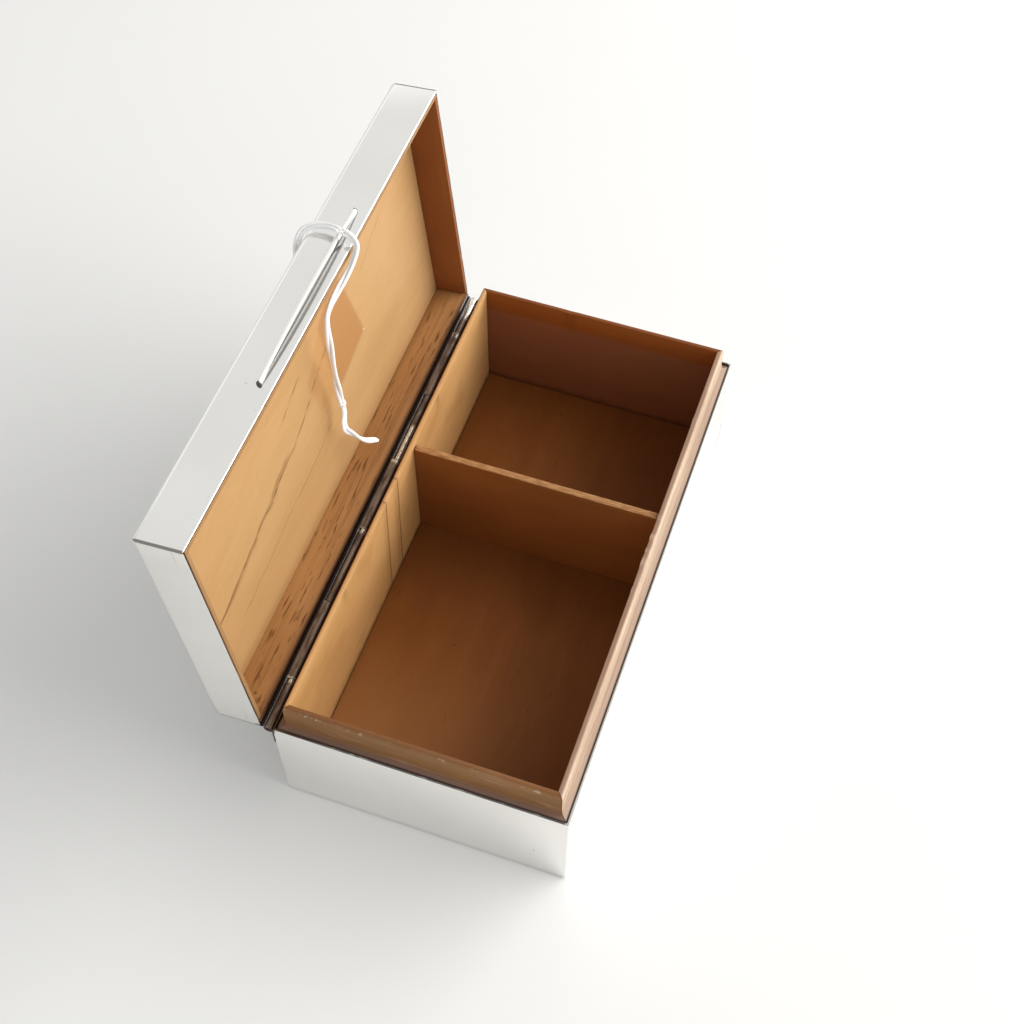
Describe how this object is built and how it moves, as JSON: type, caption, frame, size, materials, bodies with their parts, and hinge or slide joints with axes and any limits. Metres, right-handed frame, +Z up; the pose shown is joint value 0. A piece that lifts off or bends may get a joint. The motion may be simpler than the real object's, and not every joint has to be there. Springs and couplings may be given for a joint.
{
  "type": "silver-clad cedar-lined table cigarette box",
  "caption": "Rectangular table cigarette box: polished silver outside, cedar-lined compartments inside, full-length hinged lid with a thumb bar, standing open.",
  "frame": {"origin": "centre of the flat underside that the box rests on", "axes": "+X along the hinge, -Y towards the front with the thumb bar, +Z up"},
  "size_m": [0.165, 0.1131, 0.1263],
  "materials": {
    "silver": "polished silver with fine wear",
    "hinge_metal": "tarnished silver, worn bright on the knuckles",
    "cedar": "golden cedar, oiled satin",
    "cedar_dark": "red-brown cedar, satin",
    "carcass": "dark stained softwood",
    "pad": "felt",
    "cotton": "bleached cotton, matt"
  },
  "bodies": {
    "base": {"under_pad": "pad", "bottom_board": "carcass", "base_silver_band": "silver", "carcass_front": "carcass", "carcass_back": "carcass", "carcass_left": "carcass", "carcass_right": "carcass", "lining_front": "cedar_dark", "lining_back": "cedar", "lining_left": "cedar_dark", "lining_right": "cedar_dark", "floor_board": "cedar_dark", "divider": "cedar_dark", "base_hinge_leaf": "hinge_metal", "hinge_pin": "hinge_metal"},
    "lid": {"lid_silver_shell": "silver", "lid_panel": "cedar", "lid_lining_front": "cedar", "lid_lining_back": "cedar_dark", "lid_lining_left": "cedar", "lid_lining_right": "cedar", "thumb_bar": "silver", "lid_hinge_leaf": "hinge_metal", "string_outer": "cotton", "string_knot": "cotton"},
    "tag_string": {"string_inner": "cotton"}
  },
  "joints": [
    {"name": "lid_hinge", "type": "hinge", "parent": "base", "child": "lid", "pos_m": [0, 0.04425, 0.0359], "axis": [1, 0, 0], "range_deg": [0, 94.8]},
    {"name": "string_swing", "type": "hinge", "parent": "lid", "child": "tag_string", "pos_m": [0.0205, 0.0568, 0.1272], "axis": [1, 0, 0], "range_deg": [-164, 0]}
  ],
  "couplings": [
    {"joint": "string_swing", "follows": "lid_hinge", "ratio": -1.72}
  ]
}
